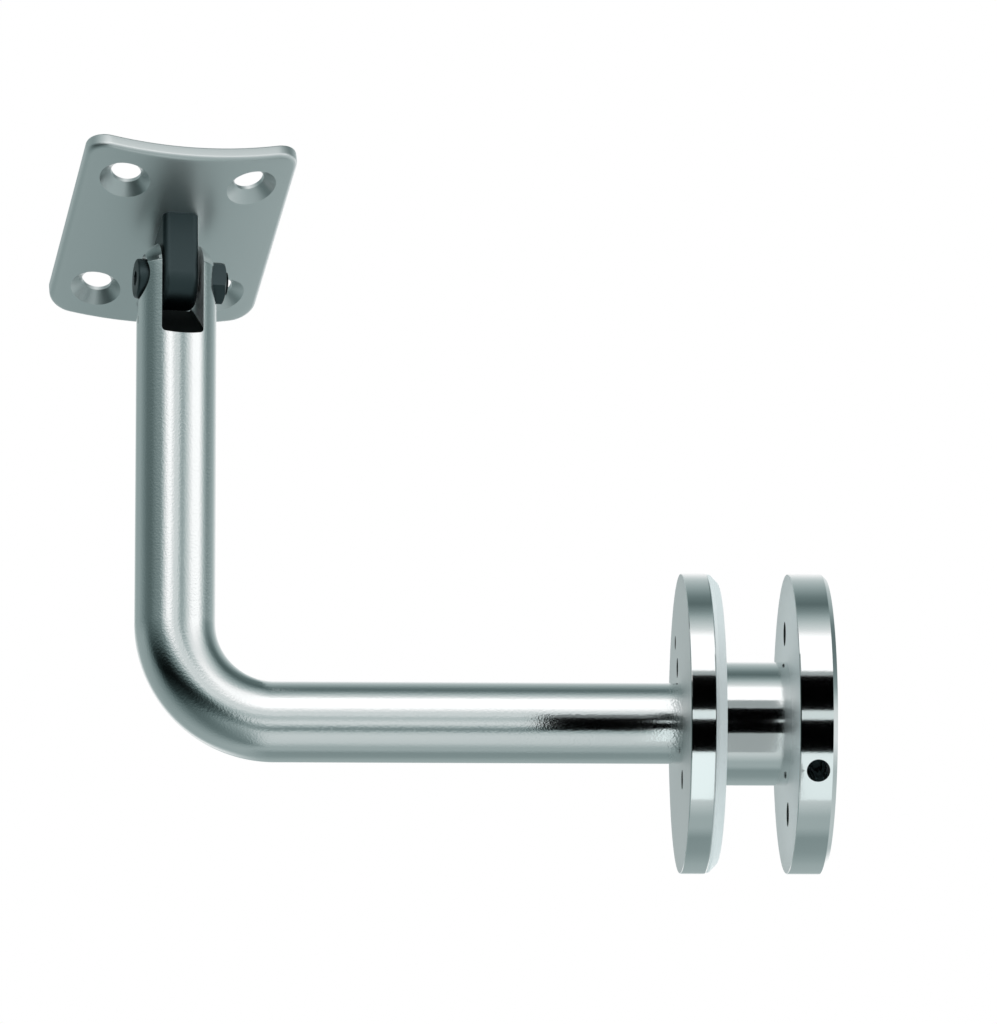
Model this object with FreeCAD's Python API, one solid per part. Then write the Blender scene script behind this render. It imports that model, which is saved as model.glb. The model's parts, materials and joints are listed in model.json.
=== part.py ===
import FreeCAD, Part
import math
import os

# Handrail bracket for a glass balustrade. A bent bar reaches from a clamp on the glass up to a saddle
# plate, which is screwed under the handrail and tilts on a cross screw in the bar's slotted end.
# Millimetres. +X runs through the glass, away from the bar; +Y along the glass; +Z up to the rail.
# The origin is on the clamp's axis, at the face of the gasket that bears on the glass.

# glass clamp
disc_diameter = 52.0
front_disc_thickness = 4.4
back_disc_thickness = 6.5
disc_edge_chamfer = 0.3          # broken edge of a turned disc
back_disc_outer_bevel = 0.8      # wider bevel round the back disc's outer face
gasket_thickness = 1.9
gasket_margin = 0.2              # the gasket stays this far inside the disc's rim
gasket_bevel = 1.4               # how far its bevelled edge draws in at the glass
gasket_land = 0.5                # straight part of its edge, beside the disc
glass_gap = 12.2                 # room for the pane
bush_diameter = 21.4
bush_clearance = 0.3             # gasket bore round the bush, on the radius
bush_seat_depth = 0.6            # recess in the back disc that centres the bush
bush_seat_clearance = 0.1        # on the radius

# threaded stud that draws arm, discs and bush together
stud_diameter = 8.0
stud_clearance = 0.2             # on the radius, in the front disc and the bush
stud_in_arm = 14.0
stud_in_back_disc = 5.2
stud_end_chamfer = 0.8
drill_allowance = 0.3            # blind holes are this much deeper than the stud reaches

# lock screw in the back disc's rim
lock_screw_diameter = 4.0
lock_screw_length = 8.0
lock_screw_angle = 30.0          # below the horizontal, on the -Y side
lock_socket_across_flats = 2.0
lock_socket_depth = 2.0

# holes for a pin spanner
back_pin_hole_diameter = 4.2
back_pin_circle = 32.0
front_pin_hole_diameter = 3.4
front_pin_circle = 22.6
front_pin_angle = 19.0           # from +Z towards +Y
locating_hole_diameter = 2.4
locating_hole_radius = 17.7
locating_hole_angle = 25.0
locating_hole_depth = 2.5

# bent arm
bar_diameter = 14.0
reach = 93.7                     # axis of the upright leg to the glass
bend_radius = 17.3               # centre line of the bend
pivot_height = 79.0              # pivot above the axis of the clamp
head_turn = 10.7                 # fork and saddle are turned this far about the leg
dome_radius = 8.2                # rounded end of the bar, about the pivot
dome_edge_radius = 0.6
slot_width = 7.4
slot_depth = 11.3                # below the pivot, where the floor leaves the bar on the -Y side
slot_back_depth = 3.5            # the same on the +Y side, where the floor has risen
slot_corner_radius = 0.6

# pivot screw and nut, size M4
pivot_diameter = 4.0
pivot_clearance = 0.05           # on the radius
pivot_seat_distance = 5.05       # from the leg's axis to each spot-faced seat
pivot_seat_diameter = 8.6
screw_head_diameter = 7.0
screw_head_height = 2.3
screw_head_edge = 0.5
screw_socket_across_flats = 2.5
screw_socket_depth = 1.3
screw_past_nut = 0.6
nut_across_flats = 7.0
nut_height = 3.2
nut_turn = 20.0                  # of a corner, away from straight up
nut_corner_slope = 0.6           # how steeply its corners are turned off

# saddle
saddle_tilt = 22.6               # edge on the -Y side raised
saddle_width = 37.3              # across the rail
saddle_length = 47.0             # along the rail
saddle_thickness = 2.6
saddle_underside_radius = 70.0
saddle_corner_radius = 4.0
saddle_lower_edge_break = 0.6
saddle_upper_edge_break = 0.3
saddle_gap = 0.4                 # between the bar's domed end and the plate
rail_hole_diameter = 5.3
rail_hole_sink_diameter = 9.1
rail_hole_across = 22.5
rail_hole_along = 30.5
tongue_side_clearance = 0.8      # to each wall of the slot
tongue_end_radius = 5.2          # its round end about the pivot
tongue_root_reach = 8.3          # its -Y edge slopes out this far from the pivot at the plate
tongue_edge_break = 1.0

ORIGIN = FreeCAD.Vector(0, 0, 0)
X = FreeCAD.Vector(1, 0, 0)
Y = FreeCAD.Vector(0, 1, 0)
Z = FreeCAD.Vector(0, 0, 1)

disc_radius = disc_diameter / 2
bar_radius = bar_diameter / 2
front_disc_back = -gasket_thickness
front_disc_face = front_disc_back - front_disc_thickness
back_disc_outer_face = glass_gap + back_disc_thickness
leg_x = -reach
pivot = FreeCAD.Vector(leg_x, 0, pivot_height)
saddle_distance = dome_radius + saddle_gap
tongue_thickness = slot_width - 2 * tongue_side_clearance


def turned(points, start, axis=X, across=Z):
    """A solid turned about an axis from (along, radius) points, or arcs given as three such points."""
    def place(point):
        return start + axis * point[0] + across * point[1]
    edges = []
    for before, after in zip(points, points[1:] + points[:1]):
        if len(after) == 4:
            edges.append(Part.Arc(place(before[-2:]), place(after[:2]), place(after[2:])).toShape())
        else:
            edges.append(Part.makeLine(place(before[-2:]), place(after)))
    face = Part.Face(Part.Wire(edges))
    return face.revolve(start, axis, 360)


def rod(diameter, start, axis, length):
    return Part.makeCylinder(diameter / 2, length, start, axis)


def hexagon(across_flats, start, axis, length, turn=0.0):
    """A hexagonal prism along an axis; turn swings its first corner away from upright."""
    corner_radius = across_flats / math.sqrt(3)
    square = axis.cross(Z).normalize().cross(axis)
    first = FreeCAD.Rotation(axis, turn).multVec(square * corner_radius)
    corners = [start + FreeCAD.Rotation(axis, 60 * k).multVec(first) for k in range(7)]
    return Part.Face(Part.makePolygon(corners)).extrude(axis * length)


def around_clamp_axis(radius, angle_from_z):
    """A point in the YZ plane, at an angle from +Z towards +Y."""
    angle = math.radians(angle_from_z)
    return FreeCAD.Vector(0, radius * math.sin(angle), radius * math.cos(angle))


def at_pivot(shape):
    """Turn something built round the origin, with its pivot axis along X, to the fork's direction."""
    placed = shape.copy()
    placed.rotate(ORIGIN, Z, head_turn)
    placed.translate(pivot)
    return placed


def on_saddle(shape):
    """The same, after tilting it with the saddle."""
    tilted = shape.copy()
    tilted.rotate(ORIGIN, X, -saddle_tilt)
    return at_pivot(tilted)


# bent arm
def bent_bar():
    """The straight arm, the quarter bend and the upright leg with its rounded end, as one bar."""
    arm_end = FreeCAD.Vector(front_disc_face, 0, 0)
    bend_start = FreeCAD.Vector(leg_x + bend_radius, 0, 0)
    bend_centre = bend_start + Z * bend_radius
    bend_end = FreeCAD.Vector(leg_x, 0, bend_radius)
    straight = rod(bar_diameter, bend_start, X, (arm_end - bend_start).Length)
    section = Part.Face(Part.Wire(Part.makeCircle(bar_radius, bend_start, X)))
    bend = section.revolve(bend_centre, Y, 90)
    return straight.fuse([bend, domed_leg(bend_end)]).removeSplitter()


def domed_leg(foot):
    """The upright part of the bar: straight to the dome's edge, then a ball-shaped end about the pivot."""
    length = pivot_height - foot.z
    shoulder = length + height_on_dome(bar_radius)
    halfway = bar_radius / 2
    leg = turned(
        [(0, 0), (0, bar_radius), (shoulder, bar_radius),
         (length + height_on_dome(halfway), halfway, length + dome_radius, 0)],
        foot, Z, X)
    rim = [edge for edge in leg.Edges
           if not edge.Degenerated and abs(edge.CenterOfMass.z - foot.z - shoulder) < 0.01]
    return leg.makeFillet(dome_edge_radius, rim)


def height_on_dome(distance):
    """How far above the pivot the ball-shaped end is, at a distance from the leg's axis."""
    return math.sqrt(dome_radius ** 2 - distance ** 2)


def slot_floor(y):
    """Height of the slot's sloping floor against the pivot."""
    slope = (slot_depth - slot_back_depth) / bar_diameter
    return slope * (y + bar_radius) - slot_depth


def fork_slot():
    """The milled slot, open at the top and on both sides, with small radii in its floor corners."""
    run = bar_diameter
    top = 2 * dome_radius
    outline = [(-run, slot_floor(-run)), (run, slot_floor(run)), (run, top), (-run, top)]
    corners = [FreeCAD.Vector(-slot_width / 2, y, z) for y, z in outline + outline[:1]]
    slot = Part.Face(Part.makePolygon(corners)).extrude(X * slot_width)
    floor_edges = [edge for edge in slot.Edges
                   if edge.BoundBox.XLength < 0.01 and edge.BoundBox.YLength > run and edge.CenterOfMass.z < 0]
    return slot.makeFillet(slot_corner_radius, floor_edges)


def pivot_hole():
    """The cross hole, with a spot-faced seat on each side of the fork."""
    bore_radius = pivot_diameter / 2 + pivot_clearance
    seat_radius = pivot_seat_diameter / 2
    return turned(
        [(-bar_diameter, 0), (-bar_diameter, seat_radius), (-pivot_seat_distance, seat_radius),
         (-pivot_seat_distance, bore_radius), (pivot_seat_distance, bore_radius),
         (pivot_seat_distance, seat_radius), (bar_diameter, seat_radius), (bar_diameter, 0)],
        ORIGIN)


def arm():
    stud_hole = rod(
        stud_diameter, FreeCAD.Vector(front_disc_face, 0, 0), X * -1, stud_in_arm + drill_allowance)
    return bent_bar().cut(at_pivot(fork_slot())).cut(at_pivot(pivot_hole())).cut(stud_hole)


# pivot
def pivot_screw():
    """A socket screw with a low head; its thread is left plain."""
    head_face = -pivot_seat_distance - screw_head_height
    shank_end = pivot_seat_distance + nut_height + screw_past_nut
    head_radius = screw_head_diameter / 2
    shank_radius = pivot_diameter / 2
    screw = turned(
        [(head_face, 0), (head_face, head_radius - screw_head_edge),
         (head_face + screw_head_edge, head_radius), (-pivot_seat_distance, head_radius),
         (-pivot_seat_distance, shank_radius), (shank_end - screw_head_edge, shank_radius),
         (shank_end, shank_radius - screw_head_edge), (shank_end, 0)],
        ORIGIN)
    socket = hexagon(screw_socket_across_flats, X * head_face, X, screw_socket_depth)
    return at_pivot(screw.cut(socket))


def pivot_nut():
    """A hexagon nut whose corners are turned off at the outer face."""
    seat = X * pivot_seat_distance
    corner_radius = nut_across_flats / math.sqrt(3)
    corner_drop = (corner_radius - nut_across_flats / 2) * nut_corner_slope
    blank = hexagon(nut_across_flats, seat, X, nut_height, nut_turn)
    envelope = turned(
        [(0, 0), (0, corner_radius), (nut_height - corner_drop, corner_radius),
         (nut_height, nut_across_flats / 2), (nut_height, 0)],
        seat)
    thread_hole = rod(pivot_diameter, seat, X, nut_height)
    return at_pivot(blank.common(envelope).cut(thread_hole))


# saddle, built with its pivot at the origin and the plate above it
def saddle_cylinder(radius):
    """The cylinder that the plate's underside or upper side lies on; it runs along the rail."""
    start = FreeCAD.Vector(0, -saddle_length, saddle_distance + saddle_underside_radius)
    return Part.makeCylinder(radius, 2 * saddle_length, start, Y)


def saddle_outline():
    """The plate seen square on: a rectangle with round corners, far taller than the plate."""
    height = saddle_underside_radius
    block = Part.makeBox(
        saddle_width, saddle_length, height, FreeCAD.Vector(-saddle_width / 2, -saddle_length / 2, 0))
    corners = [edge for edge in block.Edges if edge.BoundBox.ZLength > height / 2]
    return block.makeFillet(saddle_corner_radius, corners)


def edges_of_cylinder(shape, radius):
    """The edges round the face of a shape that lies on a cylinder of this radius."""
    return [edge for face in shape.Faces
            if face.Surface.TypeId == "Part::GeomCylinder" and abs(face.Surface.Radius - radius) < 0.01
            for edge in face.Edges]


def rail_holes():
    """Four countersunk holes, each square to the curved plate where it stands."""
    holes = []
    lean = math.degrees(math.asin(rail_hole_across / 2 / saddle_underside_radius))
    centre = FreeCAD.Vector(0, 0, saddle_distance + saddle_underside_radius)
    hole_radius = rail_hole_diameter / 2
    sink_radius = rail_hole_sink_diameter / 2
    sink_depth = sink_radius - hole_radius
    overrun = saddle_thickness / 2
    for side in (-1, 1):
        outward = FreeCAD.Rotation(Y, side * -lean).multVec(Z * -1)
        for end in (-1, 1):
            mouth = centre + outward * saddle_underside_radius + Y * (end * rail_hole_along / 2)
            holes.append(turned(
                [(-overrun, 0), (-overrun, sink_radius + overrun), (sink_depth, hole_radius),
                 (saddle_thickness + overrun, hole_radius), (saddle_thickness + overrun, 0)],
                mouth, outward * -1, Y))
    return holes


def saddle_plate():
    """A sheet plate curved to the rail, with rounded corners, broken edges and four screw holes."""
    upper_radius = saddle_underside_radius - saddle_thickness
    plate = saddle_cylinder(saddle_underside_radius).cut(saddle_cylinder(upper_radius))
    plate = plate.common(saddle_outline())
    plate = plate.makeChamfer(saddle_lower_edge_break, edges_of_cylinder(plate, saddle_underside_radius))
    plate = plate.makeChamfer(saddle_upper_edge_break, edges_of_cylinder(plate, upper_radius))
    return on_saddle(plate.cut(rail_holes()))


def hinge_tongue():
    """A flat bar under the plate: a round end about the pivot, one edge upright and one sloping out."""
    radius = tongue_end_radius
    side = -tongue_thickness / 2
    top = saddle_distance + saddle_thickness
    root_distance = math.hypot(tongue_root_reach, saddle_distance)
    root_angle = math.atan2(saddle_distance, -tongue_root_reach)
    slope_angle = root_angle + math.acos(radius / root_distance)
    slope_start = (radius * math.cos(slope_angle), radius * math.sin(slope_angle))
    slope = (tongue_root_reach + slope_start[0]) / (saddle_distance - slope_start[1])
    slope_top = -tongue_root_reach - slope * saddle_thickness

    def corner(y, z):
        return FreeCAD.Vector(side, y, z)

    outline = Part.Wire([
        Part.makeLine(corner(radius, top), corner(radius, 0)),
        Part.Arc(corner(radius, 0), corner(0, -radius), corner(*slope_start)).toShape(),
        Part.makeLine(corner(*slope_start), corner(slope_top, top)),
        Part.makeLine(corner(slope_top, top), corner(radius, top))])
    tongue = Part.Face(outline).extrude(X * tongue_thickness)
    long_edges = [edge for edge in tongue.Edges
                  if edge.BoundBox.XLength < 0.01 and edge.BoundBox.ZLength > 0.01]
    tongue = tongue.makeChamfer(tongue_edge_break, long_edges)
    bore = rod(pivot_diameter + 2 * pivot_clearance, X * -tongue_thickness, X, 2 * tongue_thickness)
    return on_saddle(tongue.cut(saddle_cylinder(saddle_underside_radius)).cut(bore))


# glass clamp
def front_disc():
    """The disc on the bar's end, with two holes for a pin spanner and a locating hole in its face."""
    face, back, edge = front_disc_face, front_disc_back, disc_edge_chamfer
    bore_radius = stud_diameter / 2 + stud_clearance
    disc = turned(
        [(face, bore_radius), (face, disc_radius - edge), (face + edge, disc_radius),
         (back - edge, disc_radius), (back, disc_radius - edge), (back, bore_radius)],
        ORIGIN)
    holes = [rod(front_pin_hole_diameter, X * face + around_clamp_axis(front_pin_circle / 2, angle),
                 X, front_disc_thickness)
             for angle in (front_pin_angle, front_pin_angle + 180)]
    locating_hole = rod(
        locating_hole_diameter, X * face + around_clamp_axis(locating_hole_radius, locating_hole_angle),
        X, locating_hole_depth)
    return disc.cut(holes + [locating_hole])


def front_gasket():
    """The soft washer against the glass; its outer edge is bevelled towards the glass."""
    bore_radius = bush_diameter / 2 + bush_clearance
    wide = disc_radius - gasket_margin
    return turned(
        [(-gasket_thickness, bore_radius), (-gasket_thickness, wide),
         (gasket_land - gasket_thickness, wide), (0, wide - gasket_bevel), (0, bore_radius)],
        ORIGIN)


def spacer_bush():
    """The bush that passes through the hole in the glass and sets the gap between the discs."""
    start, end = front_disc_back, glass_gap + bush_seat_depth
    bore_radius = stud_diameter / 2 + stud_clearance
    radius = bush_diameter / 2
    return turned([(start, bore_radius), (start, radius), (end, radius), (end, bore_radius)], ORIGIN)


def arm_stud():
    start = front_disc_face - stud_in_arm
    end = glass_gap + stud_in_back_disc
    radius = stud_diameter / 2
    edge = stud_end_chamfer
    return turned(
        [(start, 0), (start, radius - edge), (start + edge, radius),
         (end - edge, radius), (end, radius - edge), (end, 0)],
        ORIGIN)


def lock_axis():
    """The middle of the back disc's thickness, and the direction of the lock screw out of its rim."""
    start = X * (glass_gap + back_disc_thickness / 2)
    return start, around_clamp_axis(1, -90 - lock_screw_angle)


def back_disc():
    """The far disc: a recess for the bush, a blind threaded centre, two pin holes, a lock screw hole."""
    face, outer = glass_gap, back_disc_outer_face
    seat = face + bush_seat_depth
    seat_radius = bush_diameter / 2 + bush_seat_clearance
    disc = turned(
        [(seat, 0), (seat, seat_radius), (face, seat_radius),
         (face, disc_radius - disc_edge_chamfer), (face + disc_edge_chamfer, disc_radius),
         (outer - back_disc_outer_bevel, disc_radius), (outer, disc_radius - back_disc_outer_bevel),
         (outer, 0)],
        ORIGIN)
    stud_hole = rod(stud_diameter, X * face, X, stud_in_back_disc + drill_allowance)
    pin_holes = [rod(back_pin_hole_diameter, X * face + around_clamp_axis(back_pin_circle / 2, angle),
                     X, back_disc_thickness)
                 for angle in (0, 180)]
    middle, outward = lock_axis()
    lock_hole = rod(lock_screw_diameter, middle, outward, disc_diameter)
    return disc.cut(pin_holes).cut(stud_hole).cut(lock_hole)


def lock_screw():
    """A grub screw that bears on the stud; its hexagon socket faces the rim."""
    middle, outward = lock_axis()
    tip = stud_diameter / 2
    screw = rod(lock_screw_diameter, middle + outward * tip, outward, lock_screw_length)
    mouth = middle + outward * (tip + lock_screw_length)
    return screw.cut(hexagon(lock_socket_across_flats, mouth, outward * -1, lock_socket_depth))


pieces = {
    "saddle_plate": saddle_plate,
    "hinge_tongue": hinge_tongue,
    "arm": arm,
    "pivot_screw": pivot_screw,
    "pivot_nut": pivot_nut,
    "front_disc": front_disc,
    "front_gasket": front_gasket,
    "spacer_bush": spacer_bush,
    "arm_stud": arm_stud,
    "back_disc": back_disc,
    "lock_screw": lock_screw,
}

os.makedirs("parts", exist_ok=True)
for name, make in pieces.items():
    shape = make()
    shape.exportStep(f"parts/{name}.step")
    print(name, len(shape.Solids), "solid", round(shape.Volume, 1), "mm3", shape.isValid())
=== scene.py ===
import bmesh
import bpy
import json
from math import acos, atan2, cos, degrees, pi, radians, sin, sqrt
from mathutils import Matrix, Vector


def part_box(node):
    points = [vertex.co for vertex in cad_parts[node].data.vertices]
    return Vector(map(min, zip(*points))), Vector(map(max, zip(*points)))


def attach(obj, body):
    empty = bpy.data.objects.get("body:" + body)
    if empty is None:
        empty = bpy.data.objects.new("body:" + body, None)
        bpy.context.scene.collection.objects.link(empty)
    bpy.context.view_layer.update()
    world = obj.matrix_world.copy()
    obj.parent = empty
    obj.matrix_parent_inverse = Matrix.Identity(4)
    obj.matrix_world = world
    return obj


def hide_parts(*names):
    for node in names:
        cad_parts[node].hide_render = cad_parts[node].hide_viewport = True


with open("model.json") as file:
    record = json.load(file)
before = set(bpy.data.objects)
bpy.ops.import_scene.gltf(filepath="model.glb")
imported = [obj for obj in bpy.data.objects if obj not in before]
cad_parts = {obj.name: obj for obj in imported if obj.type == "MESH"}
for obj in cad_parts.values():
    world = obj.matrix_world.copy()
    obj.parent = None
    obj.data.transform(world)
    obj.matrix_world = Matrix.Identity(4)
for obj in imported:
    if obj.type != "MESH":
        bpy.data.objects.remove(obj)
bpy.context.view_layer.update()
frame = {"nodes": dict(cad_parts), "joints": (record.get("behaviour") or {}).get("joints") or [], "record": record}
mm = 0.001
acrossGlass = Vector((1, 0, 0))
alongGlass = Vector((0, 1, 0))
upright = Vector((0, 0, 1))

mounts = {mount["name"]: mount for mount in frame["record"]["mounts"]}
tiltJoint = frame["joints"][0]
pivot = Vector(tiltJoint["pos_m"])
pivotAxis = Vector(tiltJoint["axis"]).normalized()
railSeat = Vector(mounts["rail_seat"]["pos_m"])
saddleUp = Vector(mounts["rail_seat"]["axis"]).normalized()


# shader maths

class Signal:
    def __init__(self, tree, socket=None):
        self.tree = tree
        self.socket = socket

    def make(self, kind, settings=None, inputs=None, output=0):
        node = self.tree.nodes.new(kind)
        for name, value in (settings or {}).items():
            setattr(node, name, value)
        for name, value in (inputs or {}).items():
            self.feed(node.inputs[name], value)
        return Signal(self.tree, node.outputs[output])

    def feed(self, socket, value):
        if isinstance(value, Signal):
            self.tree.links.new(value.socket, socket)
        else:
            socket.default_value = value

    def maths(self, operation, first, second=0.0):
        return self.make("ShaderNodeMath", {"operation": operation}, {0: first, 1: second})

    def __add__(self, other):
        return self.maths("ADD", self, other)

    def __radd__(self, other):
        return self.maths("ADD", other, self)

    def __sub__(self, other):
        return self.maths("SUBTRACT", self, other)

    def __rsub__(self, other):
        return self.maths("SUBTRACT", other, self)

    def __mul__(self, other):
        return self.maths("MULTIPLY", self, other)

    def __rmul__(self, other):
        return self.maths("MULTIPLY", other, self)

    def __truediv__(self, other):
        return self.maths("DIVIDE", self, other)

    def __neg__(self):
        return self.maths("MULTIPLY", self, -1.0)

    def ramp(self, stops):
        first, last = stops[0][0], stops[-1][0]
        scaled = (self - first) / (last - first)
        node = self.tree.nodes.new("ShaderNodeValToRGB")
        self.feed(node.inputs[0], scaled)
        elements = node.color_ramp.elements
        while len(elements) < len(stops):
            elements.new(0.5)
        for element, (place, value) in zip(elements, stops):
            element.position = (place - first) / (last - first)
            element.color = (value, value, value, 1)
        return Signal(self.tree, node.outputs[0])

    def between(self, low, lowEdge, highEdge, high):  # 0 outside low..high, 1 between the edges
        rise = self.make("ShaderNodeMapRange", {"interpolation_type": "SMOOTHSTEP"},
                         {"Value": self, "From Min": low, "From Max": lowEdge})
        fall = self.make("ShaderNodeMapRange", {"interpolation_type": "SMOOTHSTEP"},
                         {"Value": self, "From Min": highEdge, "From Max": high,
                          "To Min": 1.0, "To Max": 0.0})
        return rise * fall

    def rising(self, low, high):  # 0 below low, 1 above high
        return self.make("ShaderNodeMapRange", None, {"Value": self, "From Min": low, "From Max": high})

    def blended(self, other, share):  # this number, turning into the other as share goes to 1
        return self + (other - self) * share

    def split(self):
        node = self.tree.nodes.new("ShaderNodeSeparateXYZ")
        self.feed(node.inputs[0], self)
        return [Signal(self.tree, socket) for socket in node.outputs]

    def tinted(self, shade):  # a grey tone as a colour that loses red as it darkens
        pale = self.maths("POWER", self.maths("MINIMUM", self, 1.0), 0.6)
        red = self * (pale * (1 - shade) + shade)
        return self.make("ShaderNodeCombineColor", None, {0: red, 1: self, 2: self})

    def colours(self, dark, light):  # dark where this number is 0, light where it is 1
        return self.make("ShaderNodeMix", {"data_type": "RGBA"}, {0: self, 6: (*dark, 1), 7: (*light, 1)}, 2)

    def mixed(self, other, share):  # this colour, turning into the other as share goes to 1
        return self.make("ShaderNodeMix", {"data_type": "RGBA"}, {0: share, 6: self, 7: other}, 2)


def newMaterial(name):
    material = bpy.data.materials.new(name)
    material.use_nodes = True
    material.node_tree.nodes.clear()
    return material, Signal(material.node_tree)


def finishMaterial(material, start, sockets):
    shader = start.make("ShaderNodeBsdfPrincipled", None, sockets, "BSDF")
    output = start.tree.nodes.new("ShaderNodeOutputMaterial")
    start.feed(output.inputs["Surface"], shader)
    return material


# mesh helpers

def axesAt(origin, along, seam):
    third = along.cross(seam)
    return Matrix.Translation(origin) @ Matrix((seam, third, along)).transposed().to_4x4()


def softened(corners, steps=5):  # (x, y) or (x, y, radius) corners, the last kind rounded off
    points = []
    count = len(corners)
    for index, corner in enumerate(corners):
        here = Vector(corner[:2])
        if len(corner) == 2:
            points.append(here)
            continue
        before = (Vector(corners[index - 1][:2]) - here).normalized()
        after = (Vector(corners[(index + 1) % count][:2]) - here).normalized()
        half = before.angle(after) / 2
        reach = corner[2] / max(0.05, abs(sin(half) / cos(half)))
        start, end = here + before * reach, here + after * reach
        for step in range(steps + 1):
            t = step / steps
            points.append(start * (1 - t) ** 2 + here * 2 * t * (1 - t) + end * t ** 2)
    return points


def newObject(name, work, place, sharp=32):
    bmesh.ops.recalc_face_normals(work, faces=work.faces)
    mesh = bpy.data.meshes.new(name)
    work.to_mesh(mesh)
    work.free()
    mesh.transform(place)
    piece = bpy.data.objects.new(name, mesh)
    bpy.context.scene.collection.objects.link(piece)
    smoothed(piece, sharp)
    return piece


def smoothed(piece, sharp=32):
    mesh = piece.data
    mesh.polygons.foreach_set("use_smooth", [True] * len(mesh.polygons))
    mesh.set_sharp_from_angle(angle=radians(sharp))


def skinned(work, rings, heights, arcs, closed=False):
    grain = work.loops.layers.uv.verify()
    pairs = list(zip(range(len(rings)), range(1, len(rings))))
    if closed:
        pairs.append((len(rings) - 1, 0))
    for low, high in pairs:
        first, second = rings[low], rings[high]
        steps = max(len(first), len(second))
        top = heights[high] if high > low else heights[-1] + (heights[-1] - heights[-2])
        for step in range(steps):
            after = (step + 1) % steps
            corners = [(first[step % len(first)], arcs[step], heights[low]),
                       (first[after % len(first)], arcs[step + 1], heights[low]),
                       (second[after % len(second)], arcs[step + 1], top),
                       (second[step % len(second)], arcs[step], top)]
            kept = []
            for corner in corners:
                if all(corner[0] is not other[0] for other in kept):
                    kept.append(corner)
            if len(kept) < 3:
                continue
            face = work.faces.new([corner[0] for corner in kept])
            for loop, corner in zip(face.loops, kept):
                loop[grain].uv = (corner[1] / mm, corner[2] / mm)


def turnedPiece(name, profile, place, steps=256, closed=False):
    work = bmesh.new()
    widest = max(point[1] for point in profile)
    arcs = [widest * 2 * pi * step / steps for step in range(steps + 1)]
    heights = [0.0]
    for before, after in zip(profile, profile[1:]):
        heights.append(heights[-1] + (Vector(after[:2]) - Vector(before[:2])).length)
    rings = []
    for along, radius in (point[:2] for point in profile):
        if radius < 1e-7:
            rings.append([work.verts.new((0, 0, along))])
            continue
        rings.append([work.verts.new((radius * cos(2 * pi * step / steps),
                                      radius * sin(2 * pi * step / steps), along))
                      for step in range(steps)])
    skinned(work, rings, heights, arcs, closed)
    return newObject(name, work, place)


def prism(name, outline, depth, place):
    work = bmesh.new()
    grain = work.loops.layers.uv.verify()
    low = [work.verts.new((x, y, 0)) for x, y in outline]
    high = [work.verts.new((x, y, depth)) for x, y in outline]
    work.faces.new(low)
    work.faces.new(high)
    for index in range(len(outline)):
        after = (index + 1) % len(outline)
        work.faces.new((low[index], low[after], high[after], high[index]))
    for face in work.faces:
        for loop in face.loops:
            loop[grain].uv = ((loop.vert.co.x + loop.vert.co.z) / mm, loop.vert.co.y / mm)
    return newObject(name, work, place)


def carved(piece, cutters):
    for cutter in cutters:
        cut = piece.modifiers.new("cut", "BOOLEAN")
        cut.operation = "DIFFERENCE"
        cut.solver = "EXACT"
        cut.object = cutter
    bpy.context.view_layer.update()
    seen = piece.evaluated_get(bpy.context.evaluated_depsgraph_get())
    mesh = bpy.data.meshes.new_from_object(seen)
    piece.modifiers.clear()
    piece.data = mesh
    for cutter in cutters:
        bpy.data.objects.remove(cutter)
    smoothed(piece)
    return piece


def hexagonOutline(acrossFlats):
    corner = acrossFlats / sqrt(3)
    return [(corner * cos(radians(60 * k)), corner * sin(radians(60 * k))) for k in range(6)]


def drill(origin, along, radius, depth):
    return turnedPiece("drill", [(0, 0), (0, radius), (depth, radius), (depth, 0)],
                       axesAt(origin, along, along.orthogonal().normalized()), 96)


def dressed(piece, material, body, slot, *nodes, even=True):
    piece.data.materials.clear()
    piece.data.materials.append(material)
    for polygon in piece.data.polygons:
        polygon.material_index = 0
    if even:
        evenly = piece.modifiers.new("evenly", "WEIGHTED_NORMAL")
        evenly.keep_sharp = True
        evenly.weight = 100
    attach(piece, body)
    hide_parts(*nodes)
    return piece


# steel finishes

def steel(name, look):
    material, start = newMaterial(name)
    grainPlace = start.make("ShaderNodeUVMap", {"uv_map": "UVMap"}, None, "UV")
    fine = start.make("ShaderNodeMapping", None,
                      {"Vector": grainPlace, "Scale": (look["along"], look["across"], 1)})
    lines = start.make("ShaderNodeTexNoise", {"noise_dimensions": "2D"},
                       {"Vector": fine, "Scale": 1.0, "Detail": 3.0, "Roughness": 0.6}, "Fac")
    wide = start.make("ShaderNodeMapping", None,
                      {"Vector": grainPlace, "Scale": (look["along"] * 2, look["across"] * 0.12, 1)})
    streaks = start.make("ShaderNodeTexNoise", {"noise_dimensions": "2D"},
                         {"Vector": wide, "Scale": 1.0, "Detail": 2.0}, "Fac")
    objectPlace = start.make("ShaderNodeTexCoord", None, None, "Object")
    pits = start.make("ShaderNodeTexNoise", None,
                      {"Vector": objectPlace, "Scale": look["pitScale"], "Detail": 2.0}, "Fac")
    height = lines * look["lineDepth"] + pits * look["pitDepth"]
    bump = start.make("ShaderNodeBump", None,
                      {"Height": height, "Strength": 1.0, "Distance": look["bump"]}, "Normal")
    tone = streaks.colours(look["dark"], look["light"])
    rough = (streaks - 0.5) * look["roughChange"] + look["rough"]
    if "faceRough" in look:                             # faces square to the clamp's axis are only ground
        facing = start.make("ShaderNodeTexCoord", None, None, "Normal")
        square = start.maths("GREATER_THAN", start.maths("ABSOLUTE", facing.split()[0]), 0.9)
        rough = rough + square * (look["faceRough"] - look["rough"])
    return finishMaterial(material, start, {
        "Base Color": tone, "Metallic": 1.0, "Roughness": rough, "Normal": bump})


# camera

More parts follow.
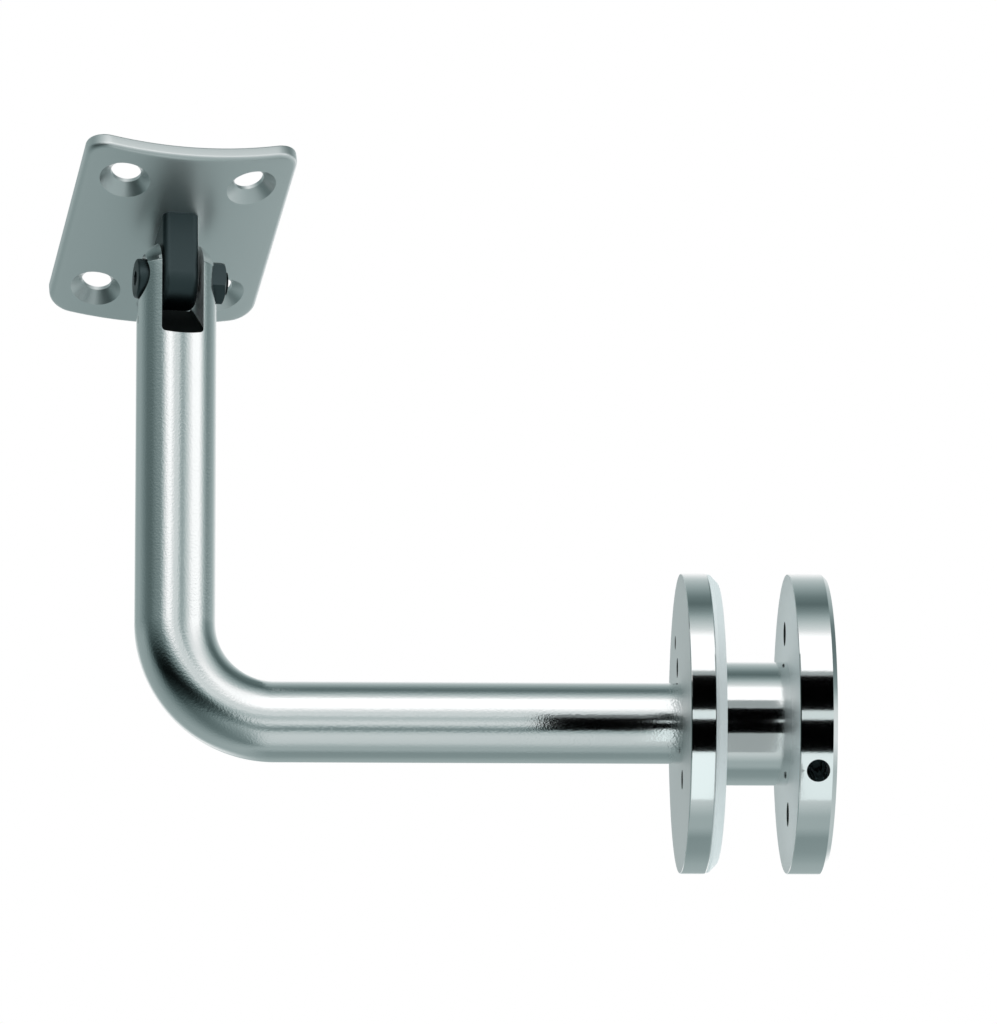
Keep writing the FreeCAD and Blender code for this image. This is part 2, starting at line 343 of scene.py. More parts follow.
view = {
    "lens": 243.8,          # mm on a 36 mm wide film
    "distance": 1.1646,
    "aim": (-0.03805, -0.01153, 0.03467),
    "turn": -2.92,          # degrees, seen from above
    "rise": 14.06,          # degrees that it looks up
    "roll": 0.38,
}

turn, rise, roll = radians(view["turn"]), radians(view["rise"]), radians(view["roll"])
level = Vector((cos(turn), sin(turn), 0))
ahead = Vector((-sin(turn) * cos(rise), cos(turn) * cos(rise), sin(rise)))
overhead = level.cross(ahead)
rightward = level * cos(roll) - overhead * sin(roll)
upward = level * sin(roll) + overhead * cos(roll)
camera = bpy.data.objects.new("camera", bpy.data.cameras.new("camera"))
bpy.context.scene.collection.objects.link(camera)
camera.data.lens = view["lens"]
camera.data.sensor_width = 36
camera.data.sensor_fit = "HORIZONTAL"
camera.data.clip_end = 20
camera.matrix_world = (Matrix.Translation(Vector(view["aim"]) - ahead * view["distance"])
                       @ Matrix((rightward, upward, -ahead)).transposed().to_4x4())
bpy.context.scene.camera = camera
print("camera set")


# studio

sky = {
    # each ring is an elevation and the tones round it, by degrees from straight ahead of the bracket
    "rings": [
        (-65, [(-180, 0.40), (-145, 0.45), (-115, 0.36), (-75, 0.21), (-55, 0.22), (-25, 0.31), (-5, 0.42),
               (5, 0.60), (20, 0.50), (60, 0.40), (180, 0.40)]),
        (-38, [(-180, 0.44), (-125, 0.40), (-105, 0.33), (-85, 0.22), (-65, 0.13), (-45, 0.16), (-25, 0.33),
               (-5, 0.50), (5, 0.45), (180, 0.44)]),
        (-24, [(-180, 0.80), (-165, 0.75), (-155, 0.42), (-110, 0.34), (-90, 0.22), (-76, 0.08), (-66, 0.03),
               (-35, 0.03), (-24, 0.10), (-14, 0.18), (-4, 0.30), (5, 0.40), (180, 0.80)]),
        (-13, [(-180, 1.20), (-168, 1.05), (-158, 0.60), (-146, 0.42), (-110, 0.36), (-92, 0.24), (-84, 0.14),
               (-75, 0.02), (-66, 0.00), (-28, 0.00), (-15, 0.06), (-5, 0.18), (3, 0.45), (150, 0.55),
               (165, 1.00), (180, 1.20)]),
        (-4, [(-180, 1.20), (-160, 0.85), (-150, 0.55), (-142, 0.42), (-105, 0.36), (-92, 0.24), (-84, 0.10),
              (-75, 0.02), (-45, 0.01), (-32, 0.05), (-15, 0.08), (-5, 0.22), (5, 0.45), (180, 1.20)]),
        (6, [(-180, 1.20), (-160, 0.95), (-150, 0.65), (-140, 0.42), (-105, 0.38), (-92, 0.24), (-80, 0.10),
             (-55, 0.12), (-40, 0.20), (-30, 0.36), (-18, 0.60), (-5, 0.55), (60, 0.60), (180, 1.20)]),
        (14, [(-180, 0.75), (-165, 0.60), (-148, 0.38), (-124, 0.38), (-108, 0.26), (-92, 0.15), (-72, 0.14),
              (-56, 0.25), (-42, 0.28), (-32, 0.75), (-24, 1.15), (-18, 1.30), (-2, 1.20), (4, 0.95),
              (10, 0.60), (16, 0.33), (22, 0.33), (28, 0.52), (40, 0.87), (50, 1.25), (70, 1.30), (78, 0.95),
              (88, 0.50), (100, 0.25), (112, 0.28), (132, 0.42), (148, 0.65), (160, 0.90), (180, 0.75)]),
        (35, [(-180, 0.70), (-90, 0.30), (-30, 0.90), (0, 1.10), (10, 1.20), (28, 1.15), (38, 0.98),
              (55, 0.83), (73, 0.57), (85, 0.30), (95, 0.15), (108, 0.14), (118, 0.20), (130, 0.38),
              (145, 0.50), (180, 0.70)]),
        (55, [(-180, 0.50), (-90, 0.25), (-30, 0.80), (0, 1.15), (15, 1.20), (25, 1.05), (35, 0.78),
              (45, 0.55), (75, 0.30), (90, 0.14), (105, 0.11), (140, 0.18), (165, 0.17), (180, 0.50)]),
        (75, [(-180, 0.28), (-90, 0.20), (0, 0.60), (15, 0.44), (35, 0.50), (75, 0.27), (95, 0.18),
              (115, 0.13), (150, 0.13), (180, 0.28)]),
    ],
    # tones that the level bar and the discs' rims show, by degrees over the bar
    "overBar": [(-180, 0.45), (-150, 0.42), (-128, 0.32), (-110, 0.30), (-99, 0.45), (-88, 0.45), (-72, 0.68),
                (-52, 0.72), (-42, 0.62), (-36, 0.30), (-30, 0.25), (-22, 0.62), (-15, 0.85), (-7, 0.65),
                (0, 0.55), (8, 0.80), (15, 0.72), (22, 0.92), (29, 1.30), (58, 1.30), (64, 0.80), (73, 0.55),
                (83, 0.27), (92, 0.15), (102, 0.22), (114, 0.38), (132, 0.60), (146, 0.88), (160, 1.05),
                (180, 0.60)],
    "barWindow": (-0.260, -0.010, 0.110, 0.125),     # how far the bar's tones reach to the sides
    "shade": 0.58,                                  # red left in the darkest tones
    "floorDepth": 1.2,
    "floorSize": 6.0,
    "floorThickness": 0.01,
}

world = bpy.data.worlds.new("studio")
bpy.context.scene.world = world
world.use_nodes = True
world.node_tree.nodes.clear()
air = Signal(world.node_tree)
heading = air.make("ShaderNodeTexCoord", None, None, "Generated")
headingX, headingY, headingZ = heading.split()
toDegrees = 180 / pi
overBar = air.maths("ARCTAN2", headingZ, -headingY) * toDegrees
sideways = air.maths("ARCTAN2", headingX, -headingY) * toDegrees
elevation = air.maths("ARCSINE", headingZ) * toDegrees
below, stops = sky["rings"][0]
tone = sideways.ramp(stops)
for above, stops in sky["rings"][1:]:
    tone = tone.blended(sideways.ramp(stops), elevation.rising(below, above))
    below = above
tone = tone.blended(overBar.ramp(sky["overBar"]), headingX.between(*sky["barWindow"]))
painted = tone.tinted(sky["shade"])
toCamera = air.make("ShaderNodeLightPath", None, None, "Is Camera Ray")
paper = painted.mixed((1, 1, 1, 1), toCamera)
background = air.make("ShaderNodeBackground", None, {"Color": paper, "Strength": 1.0})
worldOutput = world.node_tree.nodes.new("ShaderNodeOutputWorld")
air.feed(worldOutput.inputs["Surface"], background)

floorMaterial, floorStart = newMaterial("floorPaper")
floorPlace = floorStart.make("ShaderNodeTexCoord", None, None, "Object")
floorFibre = floorStart.make("ShaderNodeTexNoise", None, {"Vector": floorPlace, "Scale": 40.0}, "Fac")
floorTone = floorFibre.colours((0.86, 0.86, 0.86), (0.90, 0.90, 0.90))
finishMaterial(floorMaterial, floorStart, {"Base Color": floorTone, "Roughness": 0.9})
half = sky["floorSize"] / 2
floor = prism("floor", [(-half, -half), (half, -half), (half, half), (-half, half)], sky["floorThickness"],
              Matrix.Translation((0, 0, -sky["floorDepth"])))
floor.data.materials.append(floorMaterial)
floor.visible_glossy = False

# boards close in front of the clamp, seen only in its reflections
boardDistance, boardThickness, boardSpacing = 40.0 * mm, 0.05 * mm, 0.1 * mm
boards = {                  # left and right at the top, low, high, how far the foot leans right (mm), tone
    "armFlag": (-28.9, -8.0, -25.0, 1.0, 0.0, 0.0),
    "armShade": (-28.9, -8.0, 1.0, 7.0, 0.0, 0.20),
    "clampFlag": (-8.0, 30.0, -20.5, 9.3, 0.0, 0.0),
    "clampShade": (-8.0, 30.0, 9.3, 11.2, 0.0, 0.42),
    "bushTop": (1.5, 13.3, 11.2, 20.5, 0.0, 0.38),
    "frontSlit": (-8.0, 2.0, -7.0, -3.7, 0.0, 0.90),
    "backSlit": (12.6, 24.0, -7.0, -3.7, 0.0, 0.80),
    "frontGlow": (-8.0, 1.0, -80.0, -20.5, 4.0, 1.05),
    "bushShade": (1.0, 13.3, -80.0, -20.5, 4.0, 0.40),
    "backGlow": (13.3, 24.0, -80.0, -20.5, 4.0, 0.95),
}
for number, (name, (*edges, glow)) in enumerate(boards.items()):
    left, right, low, high, lean = (value * mm for value in edges)
    outline = [(left + lean, low), (right + lean, low), (right, high), (left, high)]
    board = prism(name, outline, boardThickness,
                  axesAt(Vector((0, number * boardSpacing - boardDistance, 0)), -alongGlass, acrossGlass))
    boardMaterial, boardStart = newMaterial(name)
    finishMaterial(boardMaterial, boardStart, {
        "Base Color": (0, 0, 0, 1), "Specular IOR Level": 0.0, "Roughness": 1.0,
        "Emission Color": (0.9, 1, 1, 1), "Emission Strength": glow})
    board.data.materials.append(boardMaterial)
    board.visible_camera = False
bpy.context.scene.view_settings.view_transform = "Standard"
print("studio painted")


# bent arm

# painted shade: a steel tone far darker than the stainless parts' own, given to the tongue and the fasteners
darkPaintedShadeLook = {
    "along": 0.5, "across": 5.0, "lineDepth": 0.6, "pitScale": 2600.0, "pitDepth": 0.6, "bump": 0.000014,
    "light": (0.085, 0.115, 0.12), "dark": (0.035, 0.05, 0.055), "rough": 0.42, "roughChange": 0.2,
}
darkPaintedShadeMaterial = steel("darkPaintedShadeSteel", darkPaintedShadeLook)
# a rough milled finish, partly painted light: brighter than the bar's steel so the slot's walls and the tongue's
# side look lit
milledPaintedLightLook = {
    "along": 1.5, "across": 1.5, "lineDepth": 0.6, "pitScale": 2600.0, "pitDepth": 0.6, "bump": 0.000012,
    "light": (0.92, 0.94, 0.94), "dark": (0.86, 0.88, 0.88), "rough": 0.55, "roughChange": 0.1,
}
milledPaintedLightMaterial = steel("milledPaintedLightSteel", milledPaintedLightLook)
# painted shade: near-black steel for the slot's floor, where shade falls in the recess
paintedShadeLook = dict(darkPaintedShadeLook, light=(0.015, 0.018, 0.018), dark=(0.008, 0.01, 0.01), rough=0.75)
paintedShadeMaterial = steel("paintedShadeSteel", paintedShadeLook)
barLook = {
    "along": 0.9, "across": 2.6, "lineDepth": 1.0, "pitScale": 2600.0, "pitDepth": 0.7, "bump": 0.000026,
    "light": (0.84, 0.86, 0.86), "dark": (0.78, 0.80, 0.80), "rough": 0.13, "roughChange": 0.05,
}
bar = {
    "bendRadius": 17.3 * mm,
    "bendSteps": 64,
    "ringSteps": 224,
    "forkRings": 13,
    "forkStart": 16.13 * mm,
    "forkSpacing": 1.3 * mm,
    "domeEdge": 0.6 * mm,
    "domeGuide": 1.0,                # radians up the dome, where the edge's rounding is aimed
    "domeSteps": 24,
    "slotWidth": 7.4 * mm,
    "slotDepth": 11.3 * mm,          # below the pivot, at the front of the bar
    "slotBackDepth": 3.2 * mm,       # the same at the back, where the floor has risen
    "slotCorner": 0.6 * mm,
    "screwHole": 2.05 * mm,
    "seatDistance": 5.05 * mm,
    "seatRadius": 4.3 * mm,
    "studHole": 4.0 * mm,
    "studDepth": 14.3 * mm,
}
armLow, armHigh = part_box("arm")
discLow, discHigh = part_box("front_disc")
legX = pivot.x
barRadius = legX - armLow.x
domeRadius = armHigh.z - pivot.z
barMaterial = steel("drawnSteel", barLook)


def barRings():
    rings = []                                          # centre, tangent, radius
    bendStart = legX + bar["bendRadius"]
    for x in (discLow.x, bendStart):
        rings.append((Vector((x, 0, 0)), -acrossGlass, barRadius))
    for step in range(1, bar["bendSteps"] + 1):
        angle = pi / 2 * step / bar["bendSteps"]
        centre = Vector((bendStart - bar["bendRadius"] * sin(angle), 0, bar["bendRadius"] * (1 - cos(angle))))
        rings.append((centre, Vector((-cos(angle), 0, sin(angle))), barRadius))
    shoulder = sqrt(domeRadius ** 2 - barRadius ** 2)
    for step in range(bar["forkRings"]):                # rings through the fork, so that its cuts stay local
        height = pivot.z - bar["forkStart"] + step * bar["forkSpacing"]
        rings.append((Vector((legX, 0, height)), upright, barRadius))
    edge = bar["domeEdge"]
    dome = softened([(0, -5 * edge), (barRadius, -5 * edge), (barRadius, shoulder, edge),
                     (domeRadius * cos(bar["domeGuide"]), domeRadius * sin(bar["domeGuide"])),
                     (0, domeRadius)], 6)[2:-2]
    start = acos(dome[-1].x / domeRadius)
    for point in dome:
        rings.append((Vector((legX, 0, pivot.z + point.y)), upright, point.x))
    for step in range(1, bar["domeSteps"] + 1):
        angle = start + (pi / 2 - start) * step / bar["domeSteps"]
        rings.append((Vector((legX, 0, pivot.z + domeRadius * sin(angle))), upright, domeRadius * cos(angle)))
    return rings


def makeBar():
    work = bmesh.new()
    steps = bar["ringSteps"]
    arcs = [barRadius * 2 * pi * step / steps for step in range(steps + 1)]
    rings, lengths = [], []
    before, beforeRadius, travelled = None, 0, 0.0
    for centre, tangent, radius in barRings():
        if before is not None:
            travelled += sqrt((centre - before).length_squared + (radius - beforeRadius) ** 2)
        lengths.append(travelled)
        before, beforeRadius = centre, radius
        outward = tangent.cross(alongGlass)
        if radius < 1e-6:
            rings.append([work.verts.new(centre)])
            continue
        rings.append([work.verts.new(centre + radius * (cos(2 * pi * step / steps) * alongGlass
                                                        + sin(2 * pi * step / steps) * outward))
                      for step in range(steps)])
    work.faces.new(rings[0])
    grain = work.loops.layers.uv.verify()
    for low, high in zip(range(len(rings)), range(1, len(rings))):
        first, second = rings[low], rings[high]
        for step in range(steps):
            after = (step + 1) % steps
            corners = [(first[step], lengths[low], arcs[step]), (first[after], lengths[low], arcs[step + 1])]
            if len(second) == 1:
                corners.append((second[0], lengths[high], arcs[step]))
            else:
                corners += [(second[after], lengths[high], arcs[step + 1]),
                            (second[step], lengths[high], arcs[step])]
            face = work.faces.new([corner[0] for corner in corners])
            for loop, corner in zip(face.loops, corners):
                loop[grain].uv = (corner[1] / mm, corner[2] / mm)
    return newObject("bentArm", work, Matrix.Identity(4))


slotSide = pivotAxis
slotAlong = upright.cross(slotSide)
floorSlope = atan2(bar["slotDepth"] - bar["slotBackDepth"], 2 * barRadius)
floorAlong = slotAlong * cos(floorSlope) + upright * sin(floorSlope)
floorUp = upright * cos(floorSlope) - slotAlong * sin(floorSlope)
floorMiddle = pivot - upright * (bar["slotDepth"] + bar["slotBackDepth"]) / 2
halfSlot, slotTop, slotReach = bar["slotWidth"] / 2, domeRadius * 4, barRadius * 3
slotOutline = softened([(-halfSlot, 0, bar["slotCorner"]), (halfSlot, 0, bar["slotCorner"]),
                        (halfSlot, slotTop), (-halfSlot, slotTop)])
slotPlace = (Matrix.Translation(floorMiddle + floorAlong * slotReach)
             @ Matrix((slotSide, floorUp, -floorAlong)).transposed().to_4x4())
slotCutter = prism("slotCutter", slotOutline, 2 * slotReach, slotPlace)
wide, seat, hole = 3 * barRadius, bar["seatDistance"], bar["screwHole"]
screwCutter = turnedPiece("screwCutter", [
    (-wide, 0), (-wide, bar["seatRadius"]), (-seat, bar["seatRadius"]), (-seat, hole),
    (seat, hole), (seat, bar["seatRadius"]), (wide, bar["seatRadius"]), (wide, 0)],
    axesAt(pivot, pivotAxis, upright), 96)
studCutter = drill(Vector((discLow.x + mm, 0, 0)), -acrossGlass, bar["studHole"], bar["studDepth"] + mm)
arm = carved(makeBar(), [slotCutter, screwCutter, studCutter])
dressed(arm, barMaterial, "bracket", "satin_steel", "arm", even=False)
arm.data.materials.append(paintedShadeMaterial)
arm.data.materials.append(milledPaintedLightMaterial)
floorBand, wallBand = bar["slotCorner"] + 0.1 * mm, 0.05 * mm
for polygon in arm.data.polygons:                       # the slot's floor gets painted shade, near black; its walls the milled finish, painted bright as if lit
    normal, height = polygon.normal, (polygon.center - floorMiddle).dot(floorUp)
    aside = abs((polygon.center - pivot).dot(slotSide))
    if abs(normal.dot(floorAlong)) < 0.1 and normal.dot(floorUp) > 0.05 and abs(height) < floorBand:
        polygon.material_index = 1
    elif abs(normal.dot(slotSide)) > 0.95 and abs(aside - halfSlot) < wallBand:
        polygon.material_index = 2
print("arm made", len(arm.data.polygons))


# discs, gasket and bush

discLook = {
    "along": 2.6, "across": 0.5, "lineDepth": 1.0, "pitScale": 2600.0, "pitDepth": 0.3, "bump": 0.000014,
    "light": (0.85, 0.87, 0.87), "dark": (0.79, 0.81, 0.81), "rough": 0.10, "roughChange": 0.04,
    "faceRough": 0.48,
}
discs = {
    "edge": 0.3 * mm,
    "outerBevel": 0.8 * mm,
    "bushEdge": 0.15 * mm,
    "studHole": 4.2 * mm,
    "studBlind": 4.0 * mm,
    "studDepth": 5.5 * mm,
    "backPin": (16.0 * mm, 0.0, 2.1 * mm),       # radius from the axis, degrees from upright, hole radius
    "frontPin": (11.3 * mm, 19.0, 1.7 * mm),
    "locating": (17.7 * mm, 25.0, 1.2 * mm, 2.5 * mm),      # the same and the depth
    "lockAngle": 30.0,
    "lockRadius": 2.0 * mm,
    "lockLength": 8.0 * mm,
    "lockSocket": (2.0 * mm, 2.0 * mm),          # across flats, depth
    "lockEdge": 0.3 * mm,
}
clampPlace = axesAt(Vector((0, 0, 0)), acrossGlass, alongGlass)
turnedMaterial = steel("turnedSteel", discLook)


def fromAxis(x, radius, angle):
    return Vector((x, radius * sin(radians(angle)), radius * cos(radians(angle))))


discRadius = (discHigh.y - discLow.y) / 2
edge = discs["edge"]
front = turnedPiece("frontDisc", softened([
    (discLow.x, discs["studHole"]), (discLow.x, discRadius, edge), (discHigh.x, discRadius, edge),
    (discHigh.x, discs["studHole"])], 3), clampPlace, 384, True)
thickness = discHigh.x - discLow.x
pinRadius, pinAngle, pinHole = discs["frontPin"]
cutters = [drill(fromAxis(discLow.x - mm, pinRadius, pinAngle + across), acrossGlass, pinHole,
                 thickness + 2 * mm) for across in (0, 180)]
spotRadius, spotAngle, spotHole, spotDepth = discs["locating"]
cutters.append(drill(fromAxis(discLow.x - mm, spotRadius, spotAngle), acrossGlass, spotHole, spotDepth + mm))
dressed(carved(front, cutters), turnedMaterial, "bracket", "satin_steel", "front_disc")

backLow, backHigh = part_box("back_disc")
bevel = discs["outerBevel"]
back = turnedPiece("backDisc", softened([
    (backLow.x, 0), (backLow.x, discRadius, edge), (backHigh.x - bevel, discRadius),
    (backHigh.x, discRadius - bevel), (backHigh.x, 0)], 3), clampPlace, 384)
backThickness = backHigh.x - backLow.x
pinRadius, pinAngle, pinHole = discs["backPin"]
cutters = [drill(fromAxis(backLow.x - mm, pinRadius, pinAngle + across), acrossGlass, pinHole,
                 backThickness + 2 * mm) for across in (0, 180)]
cutters.append(drill(Vector((backLow.x - mm, 0, 0)), acrossGlass, discs["studBlind"],
                     discs["studDepth"] + mm))
lockMiddle = Vector((backLow.x + backThickness / 2, 0, 0))
lockOut = fromAxis(0, 1, -90 - discs["lockAngle"])
cutters.append(drill(lockMiddle, lockOut, discs["lockRadius"], discRadius * 1.2))
dressed(carved(back, cutters), turnedMaterial, "bracket", "satin_steel", "back_disc")

gasketLow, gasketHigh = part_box("front_gasket")
gasketRadius = (gasketHigh.y - gasketLow.y) / 2
gasketShape = {"land": 0.5 * mm, "bevel": 1.4 * mm, "bore": 11.0 * mm, "round": 0.35 * mm, "lip": 0.1 * mm}
gasket = turnedPiece("frontGasket", softened([
    (gasketLow.x, gasketShape["bore"]), (gasketLow.x, gasketRadius, gasketShape["lip"]),
    (gasketLow.x + gasketShape["land"], gasketRadius, gasketShape["round"]),
    (gasketHigh.x, gasketRadius - gasketShape["bevel"], gasketShape["round"]),
    (gasketHigh.x, gasketShape["bore"])], 4), clampPlace, 384, True)
gumLook = {
    "grainScale": 900.0, "bump": 0.00003, "rough": 0.35, "roughChange": 0.15,
    "light": (0.92, 0.96, 0.97), "dark": (0.86, 0.91, 0.92),
    "glow": 0.25, "glowColour": (0.85, 0.95, 0.97),     # stands for the light that comes through it
}
gasketMaterial, gum = newMaterial("paleGasket")
gumPlace = gum.make("ShaderNodeTexCoord", None, None, "Object")
gumGrain = gum.make("ShaderNodeTexNoise", None,
                    {"Vector": gumPlace, "Scale": gumLook["grainScale"], "Detail": 3.0}, "Fac")
gumTone = gumGrain.colours(gumLook["dark"], gumLook["light"])
gumBump = gum.make("ShaderNodeBump", None, {"Height": gumGrain, "Distance": gumLook["bump"]}, "Normal")
finishMaterial(gasketMaterial, gum, {
    "Base Color": gumTone, "Normal": gumBump,
    "Roughness": gumGrain * gumLook["roughChange"] + gumLook["rough"],
    "Emission Color": (*gumLook["glowColour"], 1), "Emission Strength": gumLook["glow"]})
dressed(gasket, gasketMaterial, "bracket", "pale_gasket", "front_gasket")

bushLow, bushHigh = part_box("spacer_bush")
bushRadius = (bushHigh.y - bushLow.y) / 2
bush = turnedPiece("spacerBush", softened([
    (bushLow.x, discs["studHole"]), (bushLow.x, bushRadius, discs["bushEdge"]),
    (bushHigh.x, bushRadius, discs["bushEdge"]), (bushHigh.x, discs["studHole"])], 3), clampPlace, 256, True)
dressed(bush, turnedMaterial, "bracket", "satin_steel", "spacer_bush")
print("clamp made")


# fasteners, painted dark as shade

screw = {"headRadius": 3.5 * mm, "headHeight": 2.3 * mm, "headEdge": 0.5 * mm, "radius": 2.0 * mm,
         "socket": 2.5 * mm, "socketDepth": 1.3 * mm, "pastNut": 0.6 * mm, "threadPitch": 0.7 * mm,
         "threadCount": 4}
nut = {"flats": 7.0 * mm, "height": 3.2 * mm, "turn": 20.0, "slope": 0.6, "faceShare": 0.985, "steps": 192}
headFace = -seat - screw["headHeight"]
nutFace = seat + nut["height"]
screwPlace = axesAt(pivot, pivotAxis, upright)
threadDepth = screw["threadPitch"] * 0.4
threads = []
for index in range(screw["threadCount"]):
    along = nutFace + screw["pastNut"] - screw["threadPitch"] * (screw["threadCount"] - 0.5 - index)
    threads += [(along, screw["radius"] - threadDepth), (along + screw["threadPitch"] / 2, screw["radius"])]
pivotScrew = turnedPiece("pivotScrew", softened([
    (headFace, 0), (headFace, screw["headRadius"], screw["headEdge"]), (-seat, screw["headRadius"], 0.1 * mm),
    (-seat, screw["radius"]), *threads, (nutFace + screw["pastNut"], screw["radius"] - threadDepth),
    (nutFace + screw["pastNut"], 0)], 4), screwPlace, 128)
socket = prism("socket", hexagonOutline(screw["socket"]), screw["socketDepth"] + mm,
               axesAt(pivot + pivotAxis * (headFace - mm), pivotAxis, upright))
dressed(carved(pivotScrew, [socket]), darkPaintedShadeMaterial, "bracket", "dark_steel", "pivot_screw")


def makeNut():
    work = bmesh.new()
    steps = nut["steps"]
    flat = nut["flats"] / 2
    face = flat * nut["faceShare"]
    corner = nut["flats"] / sqrt(3)
    arcs = [corner * 2 * pi * step / steps for step in range(steps + 1)]
    outline = []
    for step in range(steps):
        angle = 2 * pi * step / steps
        folded = (degrees(angle) % 60) - 30
        outline.append((angle, flat / cos(radians(folded))))
    bore = screw["radius"]
    levels = [(0, "bore"), (0, "rim"), (None, "rim"), (nut["height"], "flat"), (nut["height"], "bore")]
    rings = []
    for height, kind in levels:
        ring = []
        for angle, reach in outline:
            radius = {"bore": bore, "rim": reach, "flat": face}[kind]
            z = nut["height"] - (reach - face) * nut["slope"] if height is None else height
            ring.append(work.verts.new((radius * cos(angle), radius * sin(angle), z)))
        rings.append(ring)
    skinned(work, rings, [0, 2 * mm, 5 * mm, 6 * mm, 8 * mm], arcs, True)
    return newObject("pivotNut", work, axesAt(pivot + pivotAxis * seat, pivotAxis, nutSeam), 20)


nutSeam = Matrix.Rotation(radians(nut["turn"] - 30), 3, pivotAxis) @ upright
dressed(makeNut(), darkPaintedShadeMaterial, "bracket", "dark_steel", "pivot_nut")

lockTip = discs["studBlind"]
lockFlats, lockDepth = discs["lockSocket"]
lockMouth = lockTip + discs["lockLength"]
lockSeam = lockOut.cross(acrossGlass)
lock = turnedPiece("lockScrew", softened([
    (lockTip, 0), (lockTip, discs["lockRadius"], discs["lockEdge"]),
    (lockMouth, discs["lockRadius"], discs["lockEdge"]), (lockMouth, 0)], 3),
    axesAt(lockMiddle, lockOut, lockSeam), 96)
socket = prism("socket", hexagonOutline(lockFlats), lockDepth + mm,
               axesAt(lockMiddle + lockOut * (lockMouth - lockDepth), lockOut, lockSeam))
dressed(carved(lock, [socket]), darkPaintedShadeMaterial, "bracket", "dark_steel", "lock_screw")
frame["nodes"]["arm_stud"].data.materials.clear()
frame["nodes"]["arm_stud"].data.materials.append(darkPaintedShadeMaterial)
print("fasteners made")


# saddle

saddleLook = {
    "along": 0.6, "across": 6.0, "lineDepth": 0.35, "pitScale": 2600.0, "pitDepth": 0.5, "bump": 0.000012,
    "light": (0.80, 0.83, 0.83), "dark": (0.73, 0.76, 0.76), "rough": 0.37, "roughChange": 0.06,
}
plate = {
    "width": 37.3 * mm, "length": 47.0 * mm, "thickness": 2.6 * mm, "underRadius": 70.0 * mm,
    "corner": 4.0 * mm, "lowerBreak": 0.8 * mm, "upperBreak": 0.4 * mm, "sinkRadius": 4.55 * mm,
    "cornerSteps": 14, "sideSteps": 44, "insetSteps": 16,
}
saddleAcross = pivotAxis
saddleAlong = saddleUp.cross(saddleAcross)
saddlePlace = Matrix.Translation(pivot) @ Matrix((saddleAcross, saddleAlong, saddleUp)).transposed().to_4x4()
underside = (railSeat - pivot).length - plate["thickness"]
saddleMaterial = steel("saddleSteel", saddleLook)


def plateOutline(inset):
    points = []
    held = max(plate["corner"], inset)
    radius = max(plate["corner"] - inset, 0)
    x, y = plate["width"] / 2 - held, plate["length"] / 2 - held
    starts = [(x, y, 0), (-x, y, 90), (-x, -y, 180), (x, -y, 270)]
    for index, (cx, cy, angle) in enumerate(starts):
        for step in range(plate["cornerSteps"] + 1):
            at = radians(angle + 90 * step / plate["cornerSteps"])
            points.append(Vector((cx + radius * cos(at), cy + radius * sin(at))))
        nx, ny, nextAngle = starts[(index + 1) % 4]
        goal = Vector((nx + radius * cos(radians(nextAngle)), ny + radius * sin(radians(nextAngle))))
        last = points[-1]
        for step in range(1, plate["sideSteps"]):
            points.append(last.lerp(goal, step / plate["sideSteps"]))
    return points


def plateSection():
    low, high, thick = plate["lowerBreak"], plate["upperBreak"], plate["thickness"]
    middle = plate["width"] / 2
    inner = [middle - (middle - low) * step / plate["insetSteps"] for step in range(plate["insetSteps"])]
    section = [(inset, 0) for inset in inner]
    section += [(low * (1 - sin(pi / 2 * k / 5)), low * (1 - cos(pi / 2 * k / 5))) for k in range(6)]
    section += [(high * (1 - cos(pi / 2 * k / 3)), thick - high * (1 - sin(pi / 2 * k / 3)))
                for k in range(4)]
    return section + [(inset, thick) for inset in reversed(inner)]


def makePlate():
    work = bmesh.new()
    grain = work.loops.layers.uv.verify()
    centre = underside + plate["underRadius"]
    rings = []
    for inset, depth in plateSection():
        radius = plate["underRadius"] - depth
        rings.append([work.verts.new((p.x, p.y, centre - sqrt(radius ** 2 - p.x ** 2)))
                      for p in plateOutline(inset)])
    for first, second in zip(rings, rings[1:]):
        for index in range(len(first)):
            after = (index + 1) % len(first)
            work.faces.new((first[index], first[after], second[after], second[index]))
    bmesh.ops.remove_doubles(work, verts=work.verts, dist=1e-6)
    for face in work.faces:
        for loop in face.loops:
            spot = loop.vert.co
            loop[grain].uv = (spot.y / mm, (spot.x + spot.z) / mm)
    return newObject("saddlePlate", work, saddlePlace)


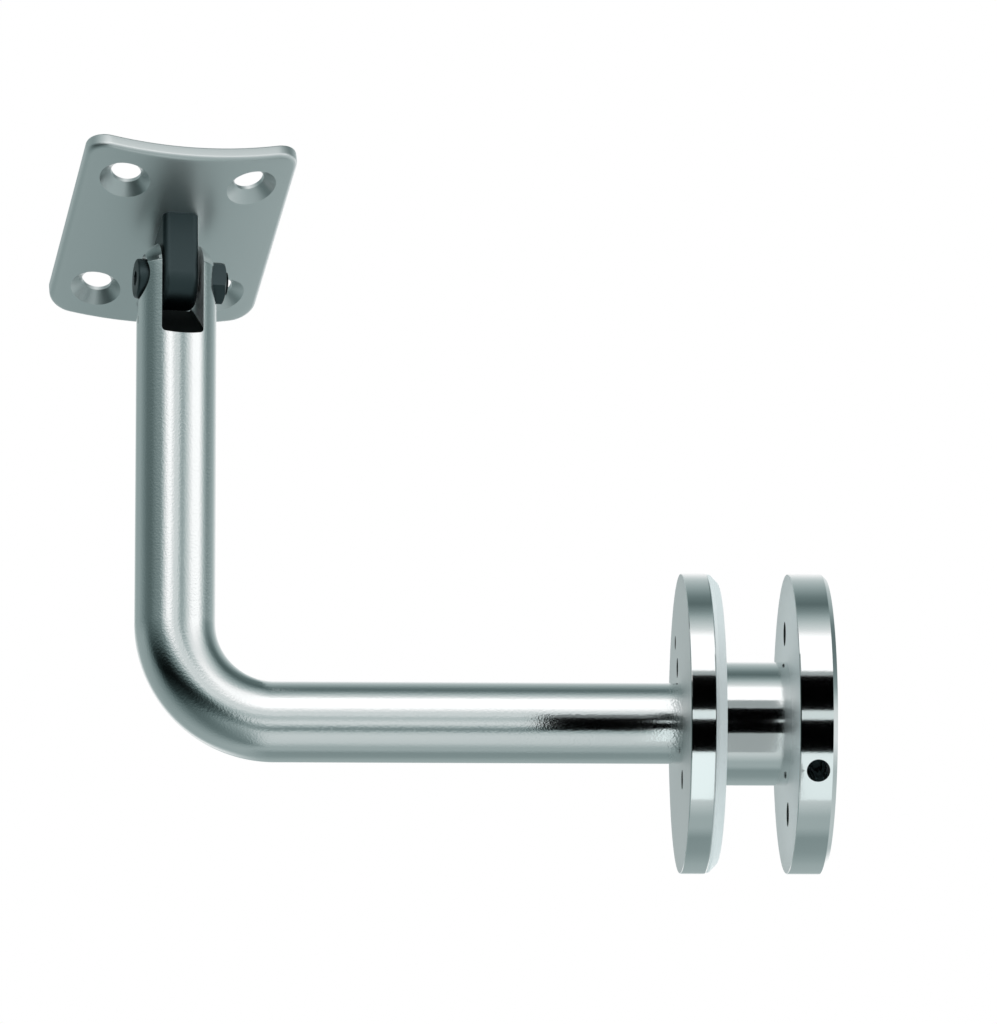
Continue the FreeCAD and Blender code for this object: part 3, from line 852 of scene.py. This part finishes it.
holeCutters = []
for name, mount in mounts.items():
    if not name.startswith("rail_hole"):
        continue
    outward = Vector(mount["axis"]).normalized()
    holeRadius = mount["dims"]["r_mm"] * mm
    sinkDepth = plate["sinkRadius"] - holeRadius
    mouth = Vector(mount["pos_m"]) + outward * (sinkDepth + (plate["thickness"] - sinkDepth) / 2)
    deep = plate["thickness"] + mm
    holeCutters.append(turnedPiece("railHole", [
        (-mm, 0), (-mm, plate["sinkRadius"] + mm), (sinkDepth, holeRadius), (deep, holeRadius), (deep, 0)],
        axesAt(mouth, -outward, saddleAlong), 128))
saddle = carved(makePlate(), holeCutters)
dressed(saddle, saddleMaterial, "saddle", "saddle_steel", "saddle_plate")

tongue = {"thickness": 6.4 * mm, "endRadius": 5.2 * mm, "rootReach": 8.3 * mm, "edge": 1.3 * mm,
          "bore": 2.05 * mm, "sunk": 0.3 * mm, "endSteps": 48}


def makeTongue():
    radius, reach, top = tongue["endRadius"], tongue["rootReach"], underside + tongue["sunk"]
    rootDistance = sqrt(reach ** 2 + underside ** 2)
    turnTo = atan2(underside, -reach) + acos(radius / rootDistance) - 2 * pi
    outline = [(radius, top)]
    outline += [(radius * cos(turnTo * k / tongue["endSteps"]), radius * sin(turnTo * k / tongue["endSteps"]))
                for k in range(tongue["endSteps"] + 1)]
    lastY, lastZ = outline[-1]
    outline.append((-reach - (reach + lastY) / (underside - lastZ) * tongue["sunk"], top))
    piece = prism("hingeTongue", outline, tongue["thickness"], Matrix.Identity(4))
    work = bmesh.new()
    work.from_mesh(piece.data)
    rim = [e for e in work.edges if abs(e.verts[0].co.z - e.verts[1].co.z) < 1e-7
           and not (e.verts[0].co.y > top - 1e-6 and e.verts[1].co.y > top - 1e-6)]
    bmesh.ops.bevel(work, geom=rim, offset=tongue["edge"], segments=6, profile=0.5, affect="EDGES")
    work.to_mesh(piece.data)
    work.free()
    piece.data.transform(Matrix.Translation(pivot - saddleAcross * tongue["thickness"] / 2)
                         @ Matrix((saddleAlong, saddleUp, saddleAcross)).transposed().to_4x4())
    smoothed(piece)
    return piece


tongueBore = drill(pivot - pivotAxis * barRadius, pivotAxis, tongue["bore"], 2 * barRadius)
# painted shade: the tongue gets the dark steel
tonguePiece = dressed(carved(makeTongue(), [tongueBore]), darkPaintedShadeMaterial, "saddle", "dark_steel",
                      "hinge_tongue")
tonguePiece.data.materials.append(milledPaintedLightMaterial)
for polygon in tonguePiece.data.polygons:               # the side next to the lit wall gets the milled finish too, painted bright as if lit
    if polygon.normal.x > 0.9:
        polygon.material_index = 1
print("saddle made")
